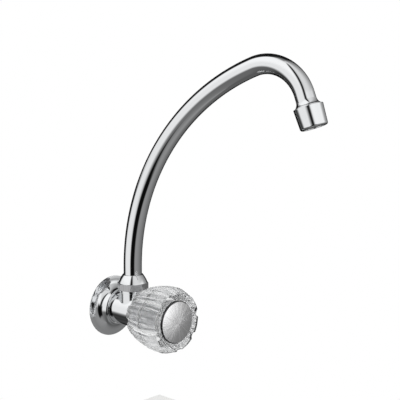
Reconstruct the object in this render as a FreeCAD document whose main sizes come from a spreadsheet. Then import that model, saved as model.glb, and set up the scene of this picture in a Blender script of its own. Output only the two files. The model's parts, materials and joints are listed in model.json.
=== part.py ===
import FreeCAD, Part
import math
import os
import Sketcher

# Laundry tap for a wall, in millimetres.
# The origin is where the inlet axis crosses the wall plane. +Z is up, the wall is at +Y.
# Places on the tap axis are distances ahead of the wall. Places on the branch are heights.

SIZES = (
    # clearances
    ("thread_gap", 0.08, "radial clearance between two screwed pieces"),
    ("running_gap", 0.06, "radial clearance of a turning shaft"),
    ("slip_gap", 0.15, "radial clearance of a piece that is slipped over another"),
    ("open_gap", 0.3, "radial clearance round a turning piece that isn't guided"),
    ("seat_gap", 0.05, "clearance where one face rests on another"),
    ("overrun", 2.0, "how far a cut runs past the solid"),
    # inlet and barrel of the body
    ("inlet_thread_radius", 10.48, "outside of the G1/2 thread that enters the wall"),
    ("inlet_length", 13.5, "length of that thread behind the wall plane"),
    ("inlet_chamfer", 1.0, "chamfer at the end of the thread"),
    ("inlet_bore_radius", 7.0, "waterway of the inlet"),
    ("relief_radius", 9.3, "undercut between thread and barrel"),
    ("barrel_start", 3.5, "shoulder of the barrel, inside the flange"),
    ("barrel_radius", 14.0, "outside of the barrel"),
    ("barrel_end", 42.0, "front face of the barrel"),
    ("barrel_edge", 0.8, "chamfer on the barrel ends"),
    # valve seat and chamber
    ("throat_place", 13.0, "where the inlet bore narrows to the seat hole"),
    ("seat_hole_radius", 5.5, "hole through the valve seat"),
    ("seat_lip_radius", 7.2, "outside of the raised seat"),
    ("seat_face", 20.0, "face of the seat"),
    ("seat_height", 3.0, "how far the seat stands out of the chamber floor"),
    ("chamber_radius", 9.4, "valve chamber"),
    ("chamber_end", 33.0, "where the bonnet thread starts"),
    # branch that carries the spout, with its heights from the top of the barrel
    ("branch_offset", 27.5, "branch axis ahead of the wall"),
    ("neck_radius", 11.5, "neck between barrel and nut"),
    ("neck_blend", 2.4, "fillet between neck and barrel"),
    ("collar_radius", 11.8, "thin collar under the nut"),
    ("collar_low", 3.9, "underside of the collar"),
    ("collar_high", 5.7, "top of the collar"),
    ("collar_groove", 0.6, "width of the groove under the collar"),
    ("collar_groove_depth", 0.4, "depth of that groove"),
    ("branch_thread_radius", 10.48, "outside thread for the spout nut"),
    ("branch_top", 12.0, "top of the branch"),
    ("branch_chamfer", 0.6, "chamfer on the branch top"),
    ("branch_bore_radius", 5.1, "waterway up from the chamber"),
    ("socket_radius", 7.5, "socket for the spout bush"),
    ("socket_depth", 14.5, "depth of that socket from the top of the branch"),
    # wall flange
    ("flange_radius", 27.1, "outside of the flange at the wall"),
    ("flange_edge", 0.5, "upright edge at the wall"),
    ("flange_face_radius", 23.6, "crease between rim and flare"),
    ("flange_rim_depth", 0.9, "depth of the rim at the crease"),
    ("flange_rim_round", 20.0, "radius of the slight swell of the rim"),
    ("flange_flare_round", 8.8, "radius of the hollow flare"),
    ("flange_flare_end", 10.2, "where the flare meets the collar"),
    ("flange_collar_wall", 1.15, "radial width of the flange collar"),
    ("flange_depth", 10.6, "front of the flange collar"),
    ("flange_wall", 0.8, "thickness of the pressed brass"),
    # bonnet
    ("bonnet_thread_radius", 10.48, "outside thread of the bonnet"),
    ("bonnet_tail_radius", 8.8, "plain tail of the bonnet"),
    ("bonnet_tail", 31.0, "inner end of the bonnet"),
    ("bonnet_thread_start", 33.3, "start of the bonnet thread"),
    ("bonnet_flats", 24.0, "hexagon of the bonnet across flats"),
    ("bonnet_hex_length", 5.5, "length of the hexagon"),
    ("bonnet_neck_radius", 8.5, "round neck ahead of the hexagon"),
    ("bonnet_end", 52.0, "front end of the bonnet"),
    ("bonnet_web", 1.2, "web between spindle thread and packing box"),
    ("bonnet_web_place", 43.8, "inner face of that web"),
    ("packing_box_radius", 6.6, "bore that holds the packing"),
    ("gasket_thickness", 1.0, "ring under the bonnet hexagon"),
    ("gasket_radius", 13.3, "outside of that ring"),
    ("packing_length", 3.0, "length of the gland packing"),
    ("gland_flats", 15.0, "gland nut across flats"),
    ("gland_head", 3.5, "length of the gland nut head"),
    # spout nut, with its heights from the top of the barrel
    ("nut_flats", 25.5, "octagon across flats"),
    ("nut_low", 5.8, "underside of the nut"),
    ("nut_band_top", 12.0, "where the cone starts"),
    ("nut_corner_drop", 0.4, "how far the corners fall away under the cone"),
    ("nut_top", 19.2, "top of the cone"),
    ("nut_top_radius", 8.8, "cone radius at the top"),
    ("nut_cone_round", 30.0, "radius of the swell of the cone"),
    ("nut_chamfer", 0.7, "chamfer under the nut"),
    ("nut_turn", 16.2, "how far the first flat is turned from +X"),
    ("nut_thread_top", 12.4, "end of the nut thread"),
    ("nut_chamber_radius", 9.9, "room for the bush flange"),
    ("nut_ledge", 14.7, "ledge that holds the spout down"),
    # spout bush, seals and slip ring, with their heights from the top of the barrel
    ("bush_length", 15.6, "length of the bush under the tube"),
    ("bush_bore_radius", 4.6, "waterway of the bush"),
    ("bush_flange_radius", 9.6, "flange that the nut holds"),
    ("bush_flange_low", 12.1, "underside of the flange"),
    ("bush_flange_top", 13.6, "top of the flange, where the tube stands"),
    ("bush_spigot", 5.0, "length of the spigot inside the tube"),
    ("seal_wire_radius", 0.9, "half thickness of an O-ring"),
    ("seal_squeeze", 0.05, "clearance left outside each O-ring"),
    ("seal_low_place", 1.5, "height of the lower O-ring"),
    ("seal_spacing", 5.0, "distance between the O-rings"),
    ("groove_width", 2.4, "width of each O-ring groove"),
    ("slip_ring_thickness", 0.9, "nylon ring on the bush flange"),
    # spout tube, with its heights from the top of the barrel
    ("spout_angle", 10.0, "how far the spout stands turned to the side"),
    ("tube_radius", 8.0, "outside of the spout tube"),
    ("tube_wall", 1.0, "wall of the spout tube"),
    ("tube_rise", 24.6, "height where the first bend starts"),
    ("long_bend_radius", 188.0, "centreline radius of the long bend"),
    ("long_bend_angle", 69.3, "angle of the long bend"),
    ("short_bend_radius", 34.7, "centreline radius of the short bend"),
    ("short_bend_angle", 91.1, "angle of the short bend"),
    ("tube_tail", 4.2, "straight end of the tube"),
    # outlet, measured from the end of the short bend
    ("cone_end", 8.9, "end of the flare"),
    ("cone_radius", 10.15, "radius at the end of the flare"),
    ("cone_round", 6.3, "radius of the hollow flare"),
    ("cone_spigot", 3.0, "spigot of the flare inside the tube"),
    ("cone_bore_radius", 6.0, "waterway of the flare"),
    ("outlet_thread_radius", 9.2, "thread that holds the housing"),
    ("outlet_thread_length", 6.0, "length of that thread"),
    ("housing_top", 9.45, "upper face of the housing"),
    ("housing_length", 17.0, "length of the housing"),
    ("housing_top_radius", 11.8, "housing radius at the top"),
    ("housing_low_radius", 10.9, "housing radius at the outlet"),
    ("housing_edge", 0.45, "rounding of the upper edge"),
    ("housing_round", 1.5, "rounding of the outlet edge"),
    ("housing_lip", 1.2, "thickness of the lip that holds the insert"),
    ("housing_lip_radius", 8.0, "opening of the lip"),
    ("cage_radius", 9.1, "outside of the plastic insert"),
    ("cage_wall", 1.0, "wall of the insert"),
    ("cage_floor", 1.0, "floor of the insert"),
    ("cage_hole_radius", 0.6, "jet holes of the insert"),
    ("cage_hole_circle", 5.2, "radius of the ring of jet holes"),
    ("aerator_gasket_thickness", 1.4, "rubber ring above the insert"),
    ("screen_thickness", 0.5, "thickness of each screen"),
    ("screen_hole_radius", 0.55, "holes of each screen"),
    ("screen_pitch", 1.9, "distance between the rings of holes"),
    ("screen_standoff", 1.0, "lower screen above the lip"),
    # valve
    ("jumper_radius", 8.3, "plate of the jumper"),
    ("jumper_thickness", 2.0, "thickness of the plate"),
    ("jumper_rim", 1.0, "rim round the washer"),
    ("jumper_rim_wall", 0.4, "wall of that rim"),
    ("jumper_stem_radius", 3.0, "stem inside the spindle"),
    ("jumper_stem", 9.5, "length of the stem"),
    ("jumper_stud_radius", 1.9, "stud that holds the washer"),
    ("washer_thickness", 3.5, "seat washer"),
    ("washer_nut_flats", 7.0, "washer nut across flats"),
    ("washer_nut_height", 2.2, "height of the washer nut"),
    ("stud_tip", 0.4, "end of the stud past its nut"),
    # spindle
    ("valve_lift", 5.0, "travel of the valve"),
    ("spindle_nose_radius", 5.0, "nose that presses the jumper"),
    ("spindle_thread_radius", 6.0, "thread of the spindle"),
    ("spindle_thread_start", 29.5, "start of the thread, valve closed"),
    ("spindle_thread_length", 9.0, "length of the thread"),
    ("spindle_radius", 4.0, "shaft of the spindle"),
    ("spindle_square", 6.0, "square end across flats"),
    ("screw_radius", 1.6, "shank of the handle screw"),
    ("screw_length", 9.5, "depth of the screw in the spindle"),
    ("screw_head_radius", 3.7, "head of the handle screw"),
    ("screw_head_height", 2.4, "height of that head"),
    ("screw_slot", 1.0, "width and depth of the slot"),
    # handle
    ("handle_back", 41.6, "back face of the handle"),
    ("handle_back_radius", 21.3, "outside at the back face"),
    ("handle_radius", 28.6, "widest radius"),
    ("handle_widest", 73.2, "place of the widest radius"),
    ("handle_round", 3.0, "rounding between side and front slope"),
    ("handle_slope", 17.5, "angle of the front slope"),
    ("handle_front", 82.2, "front face of the handle"),
    ("handle_recess_gap", 2.2, "room round the barrel end in the handle"),
    ("handle_recess_end", 57.0, "floor of that hollow"),
    ("handle_floor", 4.0, "thickness of the floor"),
    ("handle_hub_radius", 9.2, "hub round the insert"),
    ("handle_hub_end", 73.5, "front of the hub"),
    ("handle_hollow_radius", 17.2, "hollow behind the button"),
    ("button_seat_radius", 19.2, "recess for the button"),
    ("button_seat_depth", 4.6, "depth of that recess"),
    ("lobe_count", 8, "lobes round the handle"),
    ("rib_count", 4, "ribs on each lobe"),
    ("lobe_phase", 7.0, "angle of the first notch from +X"),
    ("notch_radius", 4.0, "cutter radius of a notch"),
    ("notch_depth", 2.0, "depth of a notch"),
    ("flute_radius", 2.0, "cutter radius of a flute"),
    ("flute_depth", 0.55, "depth of a flute"),
    ("insert_radius", 6.4, "outside of the brass insert"),
    ("insert_web", 1.2, "web under the screw head"),
    # button
    ("button_radius", 18.4, "outside of the button cap"),
    ("button_stand", 0.7, "how far the edge of the button stands proud"),
    ("button_bevel", 0.8, "width of the bevelled edge"),
    ("button_skirt", 1.2, "wall of the cap skirt"),
    ("button_top", 1.1, "thickness of the cap top"),
    ("plate_recess", 0.5, "depth of the recess for the plate"),
    ("plate_thickness", 0.45, "thickness of the brushed plate"),
    ("plate_crown", 1.1, "how far the plate is domed"),
)

# Angles and counts that are not sizes.
QUARTER_ANGLE = 90
FULL_TURN_ANGLE = 360
SCREEN_HOLE_COUNTS = (1, 6, 12, 18)
CAGE_HOLE_COUNT = 14
HEXAGON_COUNT = 6
OCTAGON_COUNT = 8
SQUARE_COUNT = 4

doc = FreeCAD.newDocument("laundry_tap")
sheet = doc.addObject("Spreadsheet::Sheet", "sizes")
for row, (name, number, note) in enumerate(SIZES, start=1):
    sheet.set(f"A{row}", name)
    sheet.set(f"B{row}", str(number))
    sheet.set(f"C{row}", note)
    sheet.setAlias(f"B{row}", name)
doc.recompute()


def as_size(thing):
    return thing if isinstance(thing, Size) else Size(thing, str(thing))


class Size:
    """A value together with the sheet expression that gives it."""

    def __init__(self, value, text):
        self.value = float(value)
        self.text = text

    def join(self, other, sign, value):
        return Size(value, f"({self.text} {sign} {other.text})")

    def __add__(self, other):
        other = as_size(other)
        return self.join(other, "+", self.value + other.value)

    def __sub__(self, other):
        other = as_size(other)
        return self.join(other, "-", self.value - other.value)

    def __mul__(self, other):
        other = as_size(other)
        return self.join(other, "*", self.value * other.value)

    def __truediv__(self, other):
        other = as_size(other)
        return self.join(other, "/", self.value / other.value)

    def __rsub__(self, other):
        return as_size(other) - self

    def __neg__(self):
        return Size(-self.value, f"(-{self.text})")


def sine(angle):
    return Size(math.sin(math.radians(angle.value)), f"sin({angle.text})")


def cosine(angle):
    return Size(math.cos(math.radians(angle.value)), f"cos({angle.text})")


class SheetSizes:
    """Reads a named size back from the sheet."""

    def __getattr__(self, alias):
        return Size(sheet.get(alias), f"sizes.{alias}")


s = SheetSizes()
ZERO = Size(0, "0")


# Frames: each is the placement that puts a piece's own Z axis where it belongs.

def frame(across, ahead, height, yaw=ZERO, pitch=ZERO, roll=ZERO):
    place = f"vector({across.text}; {(-ahead).text}; {height.text})"
    return f"placement({place}; rotation({yaw.text}; {pitch.text}; {roll.text}))"


spout_yaw = s.spout_angle - QUARTER_ANGLE
both_bends = s.long_bend_angle + s.short_bend_angle
bend_reach = (s.long_bend_radius * (1 - cosine(s.long_bend_angle))
              + s.short_bend_radius * (cosine(s.long_bend_angle) - cosine(both_bends)))
bend_height = (s.tube_rise + s.long_bend_radius * sine(s.long_bend_angle)
               + s.short_bend_radius * (sine(both_bends) - sine(s.long_bend_angle)))
tap_frame = frame(ZERO, ZERO, ZERO, roll=as_size(QUARTER_ANGLE))
handle_frame = frame(ZERO, ZERO, ZERO, pitch=-s.lobe_phase, roll=as_size(QUARTER_ANGLE))
branch_frame = frame(ZERO, s.branch_offset, s.barrel_radius)
nut_frame = frame(ZERO, s.branch_offset, s.barrel_radius, yaw=s.nut_turn)
spout_frame = frame(ZERO, s.branch_offset, s.barrel_radius, yaw=spout_yaw)
outlet_frame = frame(bend_reach * sine(s.spout_angle),
                     s.branch_offset + bend_reach * cosine(s.spout_angle),
                     s.barrel_radius + bend_height, yaw=spout_yaw, pitch=both_bends)

pieces = []


def new_body(label, placement):
    body = doc.addObject("PartDesign::Body", label)
    body.Label = label
    body.setExpression("Placement", placement)
    pieces.append(body)
    return body


def origin_feature(body, role):
    return [feature for feature in body.Origin.OriginFeatures if feature.Role == role][0]


def new_sketch(body, role, lift=None):
    sketch = body.newObject("Sketcher::SketchObject", body.Label + "_sketch")
    sketch.AttachmentSupport = [(origin_feature(body, role), "")]
    sketch.MapMode = "FlatFace"
    if lift is not None:
        sketch.setExpression("AttachmentOffset.Base.z", lift.text)
    return sketch


def constrain(sketch, expression, *what):
    index = sketch.addConstraint(Sketcher.Constraint(*what, expression.value))
    sketch.setExpression(f"Constraints[{index}]", expression.text)


def point(entry):
    return FreeCAD.Vector(entry[0].value, entry[1].value, 0)


def bulged_arc(start, end, radius, side):
    # an arc from start to end that swells to the left (side 1) or right (side -1) of the way
    chord = end - start
    left = FreeCAD.Vector(-chord.y, chord.x, 0).normalize()
    middle = (start + end) * 0.5
    reach = math.sqrt(max(radius ** 2 - (chord.Length / 2) ** 2, 0))
    return Part.Arc(start, middle + left * (side * (radius - reach)), end)


def draw(sketch, points, closed=True):
    # each point is (x, y), or (x, y, radius, side) where an arc leads on to the next point
    count = len(points) if closed else len(points) - 1
    ends = []
    for index in range(count):
        entry = points[index]
        start = point(entry)
        end = point(points[(index + 1) % len(points)])
        if len(entry) == 4:
            edge = sketch.addGeometry(bulged_arc(start, end, entry[2].value, entry[3]))
        else:
            edge = sketch.addGeometry(Part.LineSegment(start, end))
        forward = (sketch.getPoint(edge, 1) - start).Length < (sketch.getPoint(edge, 2) - start).Length
        ends.append((edge, 1, 2) if forward else (edge, 2, 1))
    joints = count if closed else count - 1
    for index in range(joints):
        here = ends[index]
        following = ends[(index + 1) % count]
        sketch.addConstraint(Sketcher.Constraint("Coincident", here[0], here[2], following[0], following[1]))
    for index, (edge, first, last) in enumerate(ends):
        constrain(sketch, points[index][0], "DistanceX", -1, 1, edge, first)
        constrain(sketch, points[index][1], "DistanceY", -1, 1, edge, first)
        if len(points[index]) == 4:
            constrain(sketch, points[index][2], "Radius", edge)
    if not closed:
        constrain(sketch, points[-1][0], "DistanceX", -1, 1, ends[-1][0], ends[-1][2])
        constrain(sketch, points[-1][1], "DistanceY", -1, 1, ends[-1][0], ends[-1][2])
    return sketch


def circle(sketch, radius, x=ZERO, y=ZERO):
    centre = FreeCAD.Vector(x.value, y.value, 0)
    edge = sketch.addGeometry(Part.Circle(centre, FreeCAD.Vector(0, 0, 1), radius.value))
    constrain(sketch, x, "DistanceX", -1, 1, edge, 3)
    constrain(sketch, y, "DistanceY", -1, 1, edge, 3)
    constrain(sketch, radius, "Radius", edge)
    return sketch


def must_cut(body, before, feature):
    doc.recompute()
    if not body.Shape.Volume < before:
        raise RuntimeError(f"{feature.Name} cuts nothing")
    return feature


def revolve(body, sketch, axis="V_Axis", kind="PartDesign::Revolution"):
    before = body.Shape.Volume if kind == "PartDesign::Groove" else 0
    feature = body.newObject(kind, body.Label + "_turned")
    feature.Profile = sketch
    feature.ReferenceAxis = (sketch, [axis])
    feature.Angle = FULL_TURN_ANGLE
    if kind == "PartDesign::Groove":
        must_cut(body, before, feature)
    return feature


def turned(label, placement, points):
    # a solid of revolution about the piece's own Z axis, from (radius, place) points
    body = new_body(label, placement)
    revolve(body, draw(new_sketch(body, "XZ_Plane"), points))
    doc.recompute()
    return body


def ring(label, placement, inner, outer, low, high):
    return turned(label, placement, [(inner, low), (outer, low), (outer, high), (inner, high)])


def pocket(body, sketch, length):
    before = body.Shape.Volume
    feature = body.newObject("PartDesign::Pocket", body.Label + "_pocket")
    feature.Profile = sketch
    feature.setExpression("Length", length.text)
    feature.Reversed = True
    return must_cut(body, before, feature)


def repeat_round(body, feature, count):
    # copies of a cut, evenly spaced about the piece's own Z axis
    before = body.Shape.Volume
    pattern = body.newObject("PartDesign::PolarPattern", body.Label + "_pattern")
    pattern.Originals = [feature]
    pattern.Axis = (origin_feature(body, "Z_Axis"), [""])
    pattern.Angle = FULL_TURN_ANGLE
    if isinstance(count, Size):
        pattern.Occurrences = round(count.value)
        pattern.setExpression("Occurrences", count.text)
    else:
        pattern.Occurrences = count
    body.Tip = pattern
    return must_cut(body, before, pattern)


def cut_flats(body, count, across, low, high, reach):
    # flats round a turned piece, as a spanner needs
    sketch = new_sketch(body, "XY_Plane", lift=low)
    near = across / 2
    far = reach + s.overrun
    draw(sketch, [(near, -far), (far, -far), (far, far), (near, far)])
    repeat_round(body, pocket(body, sketch, high - low), count)


def drill_ring(body, count, radius, circle_radius, low, high):
    # a ring of small holes along the piece's axis, or one in the middle
    sketch = circle(new_sketch(body, "XY_Plane", lift=low), radius, circle_radius)
    hole = pocket(body, sketch, high - low)
    if count > 1:
        repeat_round(body, hole, count)


def corner_radius(across, count):
    return across / (2 * cosine(as_size(FULL_TURN_ANGLE) / (2 * count)))


Size.__rmul__ = Size.__mul__


# The brass body: inlet, barrel, valve seat and the branch for the spout.

def make_tap_body():
    body = new_body("tap_body", tap_frame)
    outside = [
        (ZERO, -s.inlet_length),
        (s.inlet_thread_radius - s.inlet_chamfer, -s.inlet_length),
        (s.inlet_thread_radius, s.inlet_chamfer - s.inlet_length),
        (s.inlet_thread_radius, ZERO),
        (s.relief_radius, ZERO),
        (s.relief_radius, s.barrel_start),
        (s.barrel_radius - s.barrel_edge, s.barrel_start),
        (s.barrel_radius, s.barrel_start + s.barrel_edge),
        (s.barrel_radius, s.barrel_end - s.barrel_edge),
        (s.barrel_radius - s.barrel_edge, s.barrel_end),
        (ZERO, s.barrel_end),
    ]
    revolve(body, draw(new_sketch(body, "XZ_Plane"), outside))
    doc.recompute()

    # the branch is turned about a line across the barrel; its sketch has height along x
    def upright(points):
        return [(s.barrel_radius + height, s.branch_offset + radius) for height, radius in points]

    def about_branch(points, kind):
        sketch = new_sketch(body, "YZ_Plane")
        draw(sketch, upright(points))
        start = FreeCAD.Vector(0, s.branch_offset.value, 0)
        axis = sketch.addGeometry(Part.LineSegment(start, start + FreeCAD.Vector(1, 0, 0)), True)
        constrain(sketch, ZERO, "DistanceX", -1, 1, axis, 1)
        constrain(sketch, s.branch_offset, "DistanceY", -1, 1, axis, 1)
        constrain(sketch, s.barrel_radius + s.branch_top, "DistanceX", -1, 1, axis, 2)
        sketch.addConstraint(Sketcher.Constraint("Horizontal", axis))
        return revolve(body, sketch, "Axis0", kind)

    about_branch([
        (-s.barrel_radius, ZERO),
        (-s.barrel_radius, s.neck_radius),
        (s.collar_low - s.collar_groove, s.neck_radius),
        (s.collar_low - s.collar_groove, s.neck_radius - s.collar_groove_depth),
        (s.collar_low, s.neck_radius - s.collar_groove_depth),
        (s.collar_low, s.collar_radius),
        (s.collar_high, s.collar_radius),
        (s.collar_high, s.branch_thread_radius),
        (s.branch_top - s.branch_chamfer, s.branch_thread_radius),
        (s.branch_top, s.branch_thread_radius - s.branch_chamfer),
        (s.branch_top, ZERO),
    ], "PartDesign::Revolution")
    doc.recompute()

    # the fillet follows the curve where the neck leaves the barrel
    turnings = body.Tip
    seam = []
    for number, edge in enumerate(turnings.Shape.Edges, start=1):
        middle = edge.valueAt((edge.FirstParameter + edge.LastParameter) / 2)
        from_tap = math.hypot(middle.x, middle.y)
        from_branch = math.hypot(middle.x, middle.z - s.branch_offset.value)
        near_tap = abs(from_tap - s.barrel_radius.value) < 0.01 * s.barrel_radius.value
        near_branch = abs(from_branch - s.neck_radius.value) < 0.01 * s.neck_radius.value
        if near_tap and near_branch and middle.y > 0:
            seam.append(f"Edge{number}")
    blend = body.newObject("PartDesign::Fillet", "neck_blend")
    blend.Base = (turnings, seam)
    blend.setExpression("Radius", s.neck_blend.text)
    doc.recompute()

    chamber_floor = s.seat_face - s.seat_height
    bonnet_bore = s.bonnet_thread_radius + s.thread_gap
    waterway = [
        (ZERO, -s.inlet_length - s.overrun),
        (s.inlet_bore_radius, -s.inlet_length - s.overrun),
        (s.inlet_bore_radius, s.throat_place),
        (s.seat_hole_radius, s.throat_place + s.inlet_bore_radius - s.seat_hole_radius),
        (s.seat_hole_radius, s.seat_face),
        (s.seat_lip_radius, s.seat_face),
        (s.seat_lip_radius, chamber_floor),
        (s.chamber_radius, chamber_floor),
        (s.chamber_radius, s.chamber_end),
        (bonnet_bore, s.chamber_end),
        (bonnet_bore, s.barrel_end + s.overrun),
        (ZERO, s.barrel_end + s.overrun),
    ]
    revolve(body, draw(new_sketch(body, "XZ_Plane"), waterway), kind="PartDesign::Groove")
    socket_floor = s.branch_top - s.socket_depth
    about_branch([
        (-s.barrel_radius, ZERO),
        (-s.barrel_radius, s.branch_bore_radius),
        (socket_floor, s.branch_bore_radius),
        (socket_floor, s.socket_radius),
        (s.branch_top + s.overrun, s.socket_radius),
        (s.branch_top + s.overrun, ZERO),
    ], "PartDesign::Groove")


def make_wall_flange():
    hole = s.barrel_radius + s.slip_gap
    collar = hole + s.flange_collar_wall
    # the inside follows the outside at the thickness of the sheet
    lean = s.flange_wall * 0.7
    turned("wall_flange", tap_frame, [
        (s.flange_radius - s.flange_wall, ZERO),
        (s.flange_radius, ZERO),
        (s.flange_radius, s.flange_edge, s.flange_rim_round, -1),
        (s.flange_face_radius, s.flange_rim_depth, s.flange_flare_round, 1),
        (collar, s.flange_flare_end),
        (collar, s.flange_depth),
        (hole, s.flange_depth),
        (hole, s.flange_flare_end - lean),
        (collar - lean, s.flange_flare_end - lean, s.flange_flare_round + s.flange_wall, -1),
        (s.flange_face_radius - lean, s.flange_rim_depth - lean),
    ])


# Headwork: the bonnet that carries the spindle, with its seals.

hex_back = s.barrel_end + s.gasket_thickness
hex_front = hex_back + s.bonnet_hex_length
box_floor = s.bonnet_web_place + s.bonnet_web
spindle_hole = s.spindle_radius + s.running_gap


def make_bonnet():
    corner = corner_radius(s.bonnet_flats, HEXAGON_COUNT)
    spindle_bore = s.spindle_thread_radius + s.thread_gap
    body = turned("bonnet", tap_frame, [
        (spindle_bore, s.bonnet_tail),
        (s.bonnet_tail_radius, s.bonnet_tail),
        (s.bonnet_tail_radius, s.bonnet_thread_start),
        (s.bonnet_thread_radius, s.bonnet_thread_start),
        (s.bonnet_thread_radius, hex_back),
        (corner, hex_back),
        (corner, hex_front - s.barrel_edge),
        (s.bonnet_flats / 2, hex_front),
        (s.bonnet_neck_radius, hex_front),
        (s.bonnet_neck_radius, s.bonnet_end),
        (s.packing_box_radius, s.bonnet_end),
        (s.packing_box_radius, box_floor),
        (spindle_hole, box_floor),
        (spindle_hole, s.bonnet_web_place),
        (spindle_bore, s.bonnet_web_place),
    ])
    cut_flats(body, HEXAGON_COUNT, s.bonnet_flats, hex_back, hex_front, corner)


def make_bonnet_gasket():
    inner = s.bonnet_thread_radius + s.slip_gap
    ring("bonnet_gasket", tap_frame, inner, s.gasket_radius,
         s.barrel_end + s.seat_gap / 2, hex_back - s.seat_gap / 2)


def make_gland_packing():
    ring("gland_packing", tap_frame, spindle_hole, s.packing_box_radius - s.seat_gap,
         box_floor + s.seat_gap, box_floor + s.packing_length)


def make_gland_nut():
    corner = corner_radius(s.gland_flats, HEXAGON_COUNT)
    thread = s.packing_box_radius - s.thread_gap
    inner_end = box_floor + s.packing_length + s.seat_gap
    head_back = s.bonnet_end + s.seat_gap
    head_front = head_back + s.gland_head
    body = turned("gland_nut", tap_frame, [
        (spindle_hole, inner_end),
        (thread, inner_end),
        (thread, head_back),
        (corner, head_back),
        (corner, head_front - s.screw_slot / 2),
        (s.gland_flats / 2, head_front),
        (spindle_hole, head_front),
    ])
    cut_flats(body, HEXAGON_COUNT, s.gland_flats, head_back, head_front, corner)


# Valve: jumper, washer and the nut that holds the washer. It slides without turning.

washer_back = s.seat_face + s.seat_gap
washer_front = washer_back + s.washer_thickness
plate_back = washer_front + s.seat_gap
plate_front = plate_back + s.jumper_thickness
washer_nut_front = s.seat_face
washer_nut_back = washer_nut_front - s.washer_nut_height


def make_jumper():
    rim_inner = s.jumper_radius - s.jumper_rim_wall
    turned("jumper", tap_frame, [
        (ZERO, washer_nut_back - s.stud_tip),
        (s.jumper_stud_radius, washer_nut_back - s.stud_tip),
        (s.jumper_stud_radius, plate_back),
        (rim_inner, plate_back),
        (rim_inner, plate_back - s.jumper_rim),
        (s.jumper_radius, plate_back - s.jumper_rim),
        (s.jumper_radius, plate_front),
        (s.jumper_stem_radius, plate_front),
        (s.jumper_stem_radius, plate_front + s.jumper_stem),
        (ZERO, plate_front + s.jumper_stem),
    ])


def make_seat_washer():
    ring("seat_washer", tap_frame, s.jumper_stud_radius + s.seat_gap,
         s.jumper_radius - s.jumper_rim_wall - s.seat_gap, washer_back, washer_front)


def make_washer_nut():
    corner = corner_radius(s.washer_nut_flats, HEXAGON_COUNT)
    body = ring("washer_nut", tap_frame, s.jumper_stud_radius + s.thread_gap, corner,
                washer_nut_back, washer_nut_front)
    cut_flats(body, HEXAGON_COUNT, s.washer_nut_flats, washer_nut_back, washer_nut_front, corner)


# Handle body: spindle, insert, acrylic handle, screw and button. It turns and rises.

insert_back = s.handle_recess_end + s.seat_gap
insert_front = s.handle_hub_end
spindle_end = insert_front - s.insert_web - s.open_gap


def make_spindle():
    nose = plate_front + s.seat_gap
    square_start = s.handle_recess_end - s.open_gap
    thread_end = s.spindle_thread_start + s.spindle_thread_length
    stem_bore = s.jumper_stem_radius + s.thread_gap
    body = turned("spindle", tap_frame, [
        (stem_bore, nose),
        (s.spindle_nose_radius, nose),
        (s.spindle_nose_radius, s.spindle_thread_start),
        (s.spindle_thread_radius, s.spindle_thread_start),
        (s.spindle_thread_radius, thread_end),
        (s.spindle_radius, thread_end),
        (s.spindle_radius, spindle_end),
        (s.screw_radius + s.thread_gap, spindle_end),
        (s.screw_radius + s.thread_gap, spindle_end - s.screw_length - s.overrun),
        (ZERO, spindle_end - s.screw_length - s.overrun),
        (ZERO, nose + s.jumper_stem + s.overrun),
        (stem_bore, nose + s.jumper_stem + s.overrun),
    ])
    cut_flats(body, SQUARE_COUNT, s.spindle_square, square_start,
              spindle_end + s.overrun, s.spindle_radius)


def make_handle_insert():
    # a square hole for the spindle, closed by a web that the screw head pulls on
    half = s.spindle_square / 2 + s.slip_gap
    screw_hole = s.screw_radius + s.slip_gap
    body = ring("handle_insert", tap_frame, screw_hole, s.insert_radius, insert_back, insert_front)
    sketch = new_sketch(body, "XY_Plane", lift=insert_back)
    draw(sketch, [(-half, -half), (half, -half), (half, half), (-half, half)])
    pocket(body, sketch, insert_front - s.insert_web - insert_back)


side_drop = s.handle_radius - s.handle_back_radius
side_length = s.handle_widest - s.handle_back
side_radius = (side_length * side_length + side_drop * side_drop) / (2 * side_drop)
slope_sine = sine(s.handle_slope)
slope_cosine = cosine(s.handle_slope)


def handle_side(offset, past):
    # the outline of the handle's side and front slope, moved outwards by an offset
    round_radius = s.handle_round + offset
    swing_cosine = 1 - side_drop / side_radius
    swing_sine = side_length / side_radius
    reach = side_radius + offset
    start = (s.handle_radius - side_radius + reach * swing_cosine, s.handle_widest - reach * swing_sine)
    widest = (s.handle_radius + offset, s.handle_widest)
    bend = (widest[0] - round_radius * (1 - slope_cosine), widest[1] + round_radius * slope_sine)
    run = (s.handle_front + past - bend[1]) / slope_cosine
    end = (bend[0] - run * slope_sine, s.handle_front + past)
    lead = (start[0] - past * swing_sine, start[1] - past * swing_cosine)
    return lead, start, reach, widest, round_radius, bend, end


def cut_groove(body, radius, depth, runs_out):
    # one groove along the handle's side, which runs out on the front slope or goes on down it
    offset = radius - depth
    lead, start, reach, widest, round_radius, bend, end = handle_side(offset, s.overrun)
    front = [widest, (widest[0], end[1])] if runs_out else [widest + (round_radius, -1), bend, end]
    path = new_sketch(body, "XZ_Plane")
    draw(path, [lead, start + (reach, -1)] + front, closed=False)
    profile = body.newObject("Sketcher::SketchObject", body.Label + "_section")
    profile.AttachmentSupport = [(path, "Edge1")]
    profile.MapMode = "NormalToEdge"
    circle(profile, radius)
    doc.recompute()
    before = body.Shape.Volume
    groove = body.newObject("PartDesign::SubtractivePipe", body.Label + "_groove")
    groove.Profile = profile
    groove.Spine = path
    return must_cut(body, before, groove)


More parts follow.
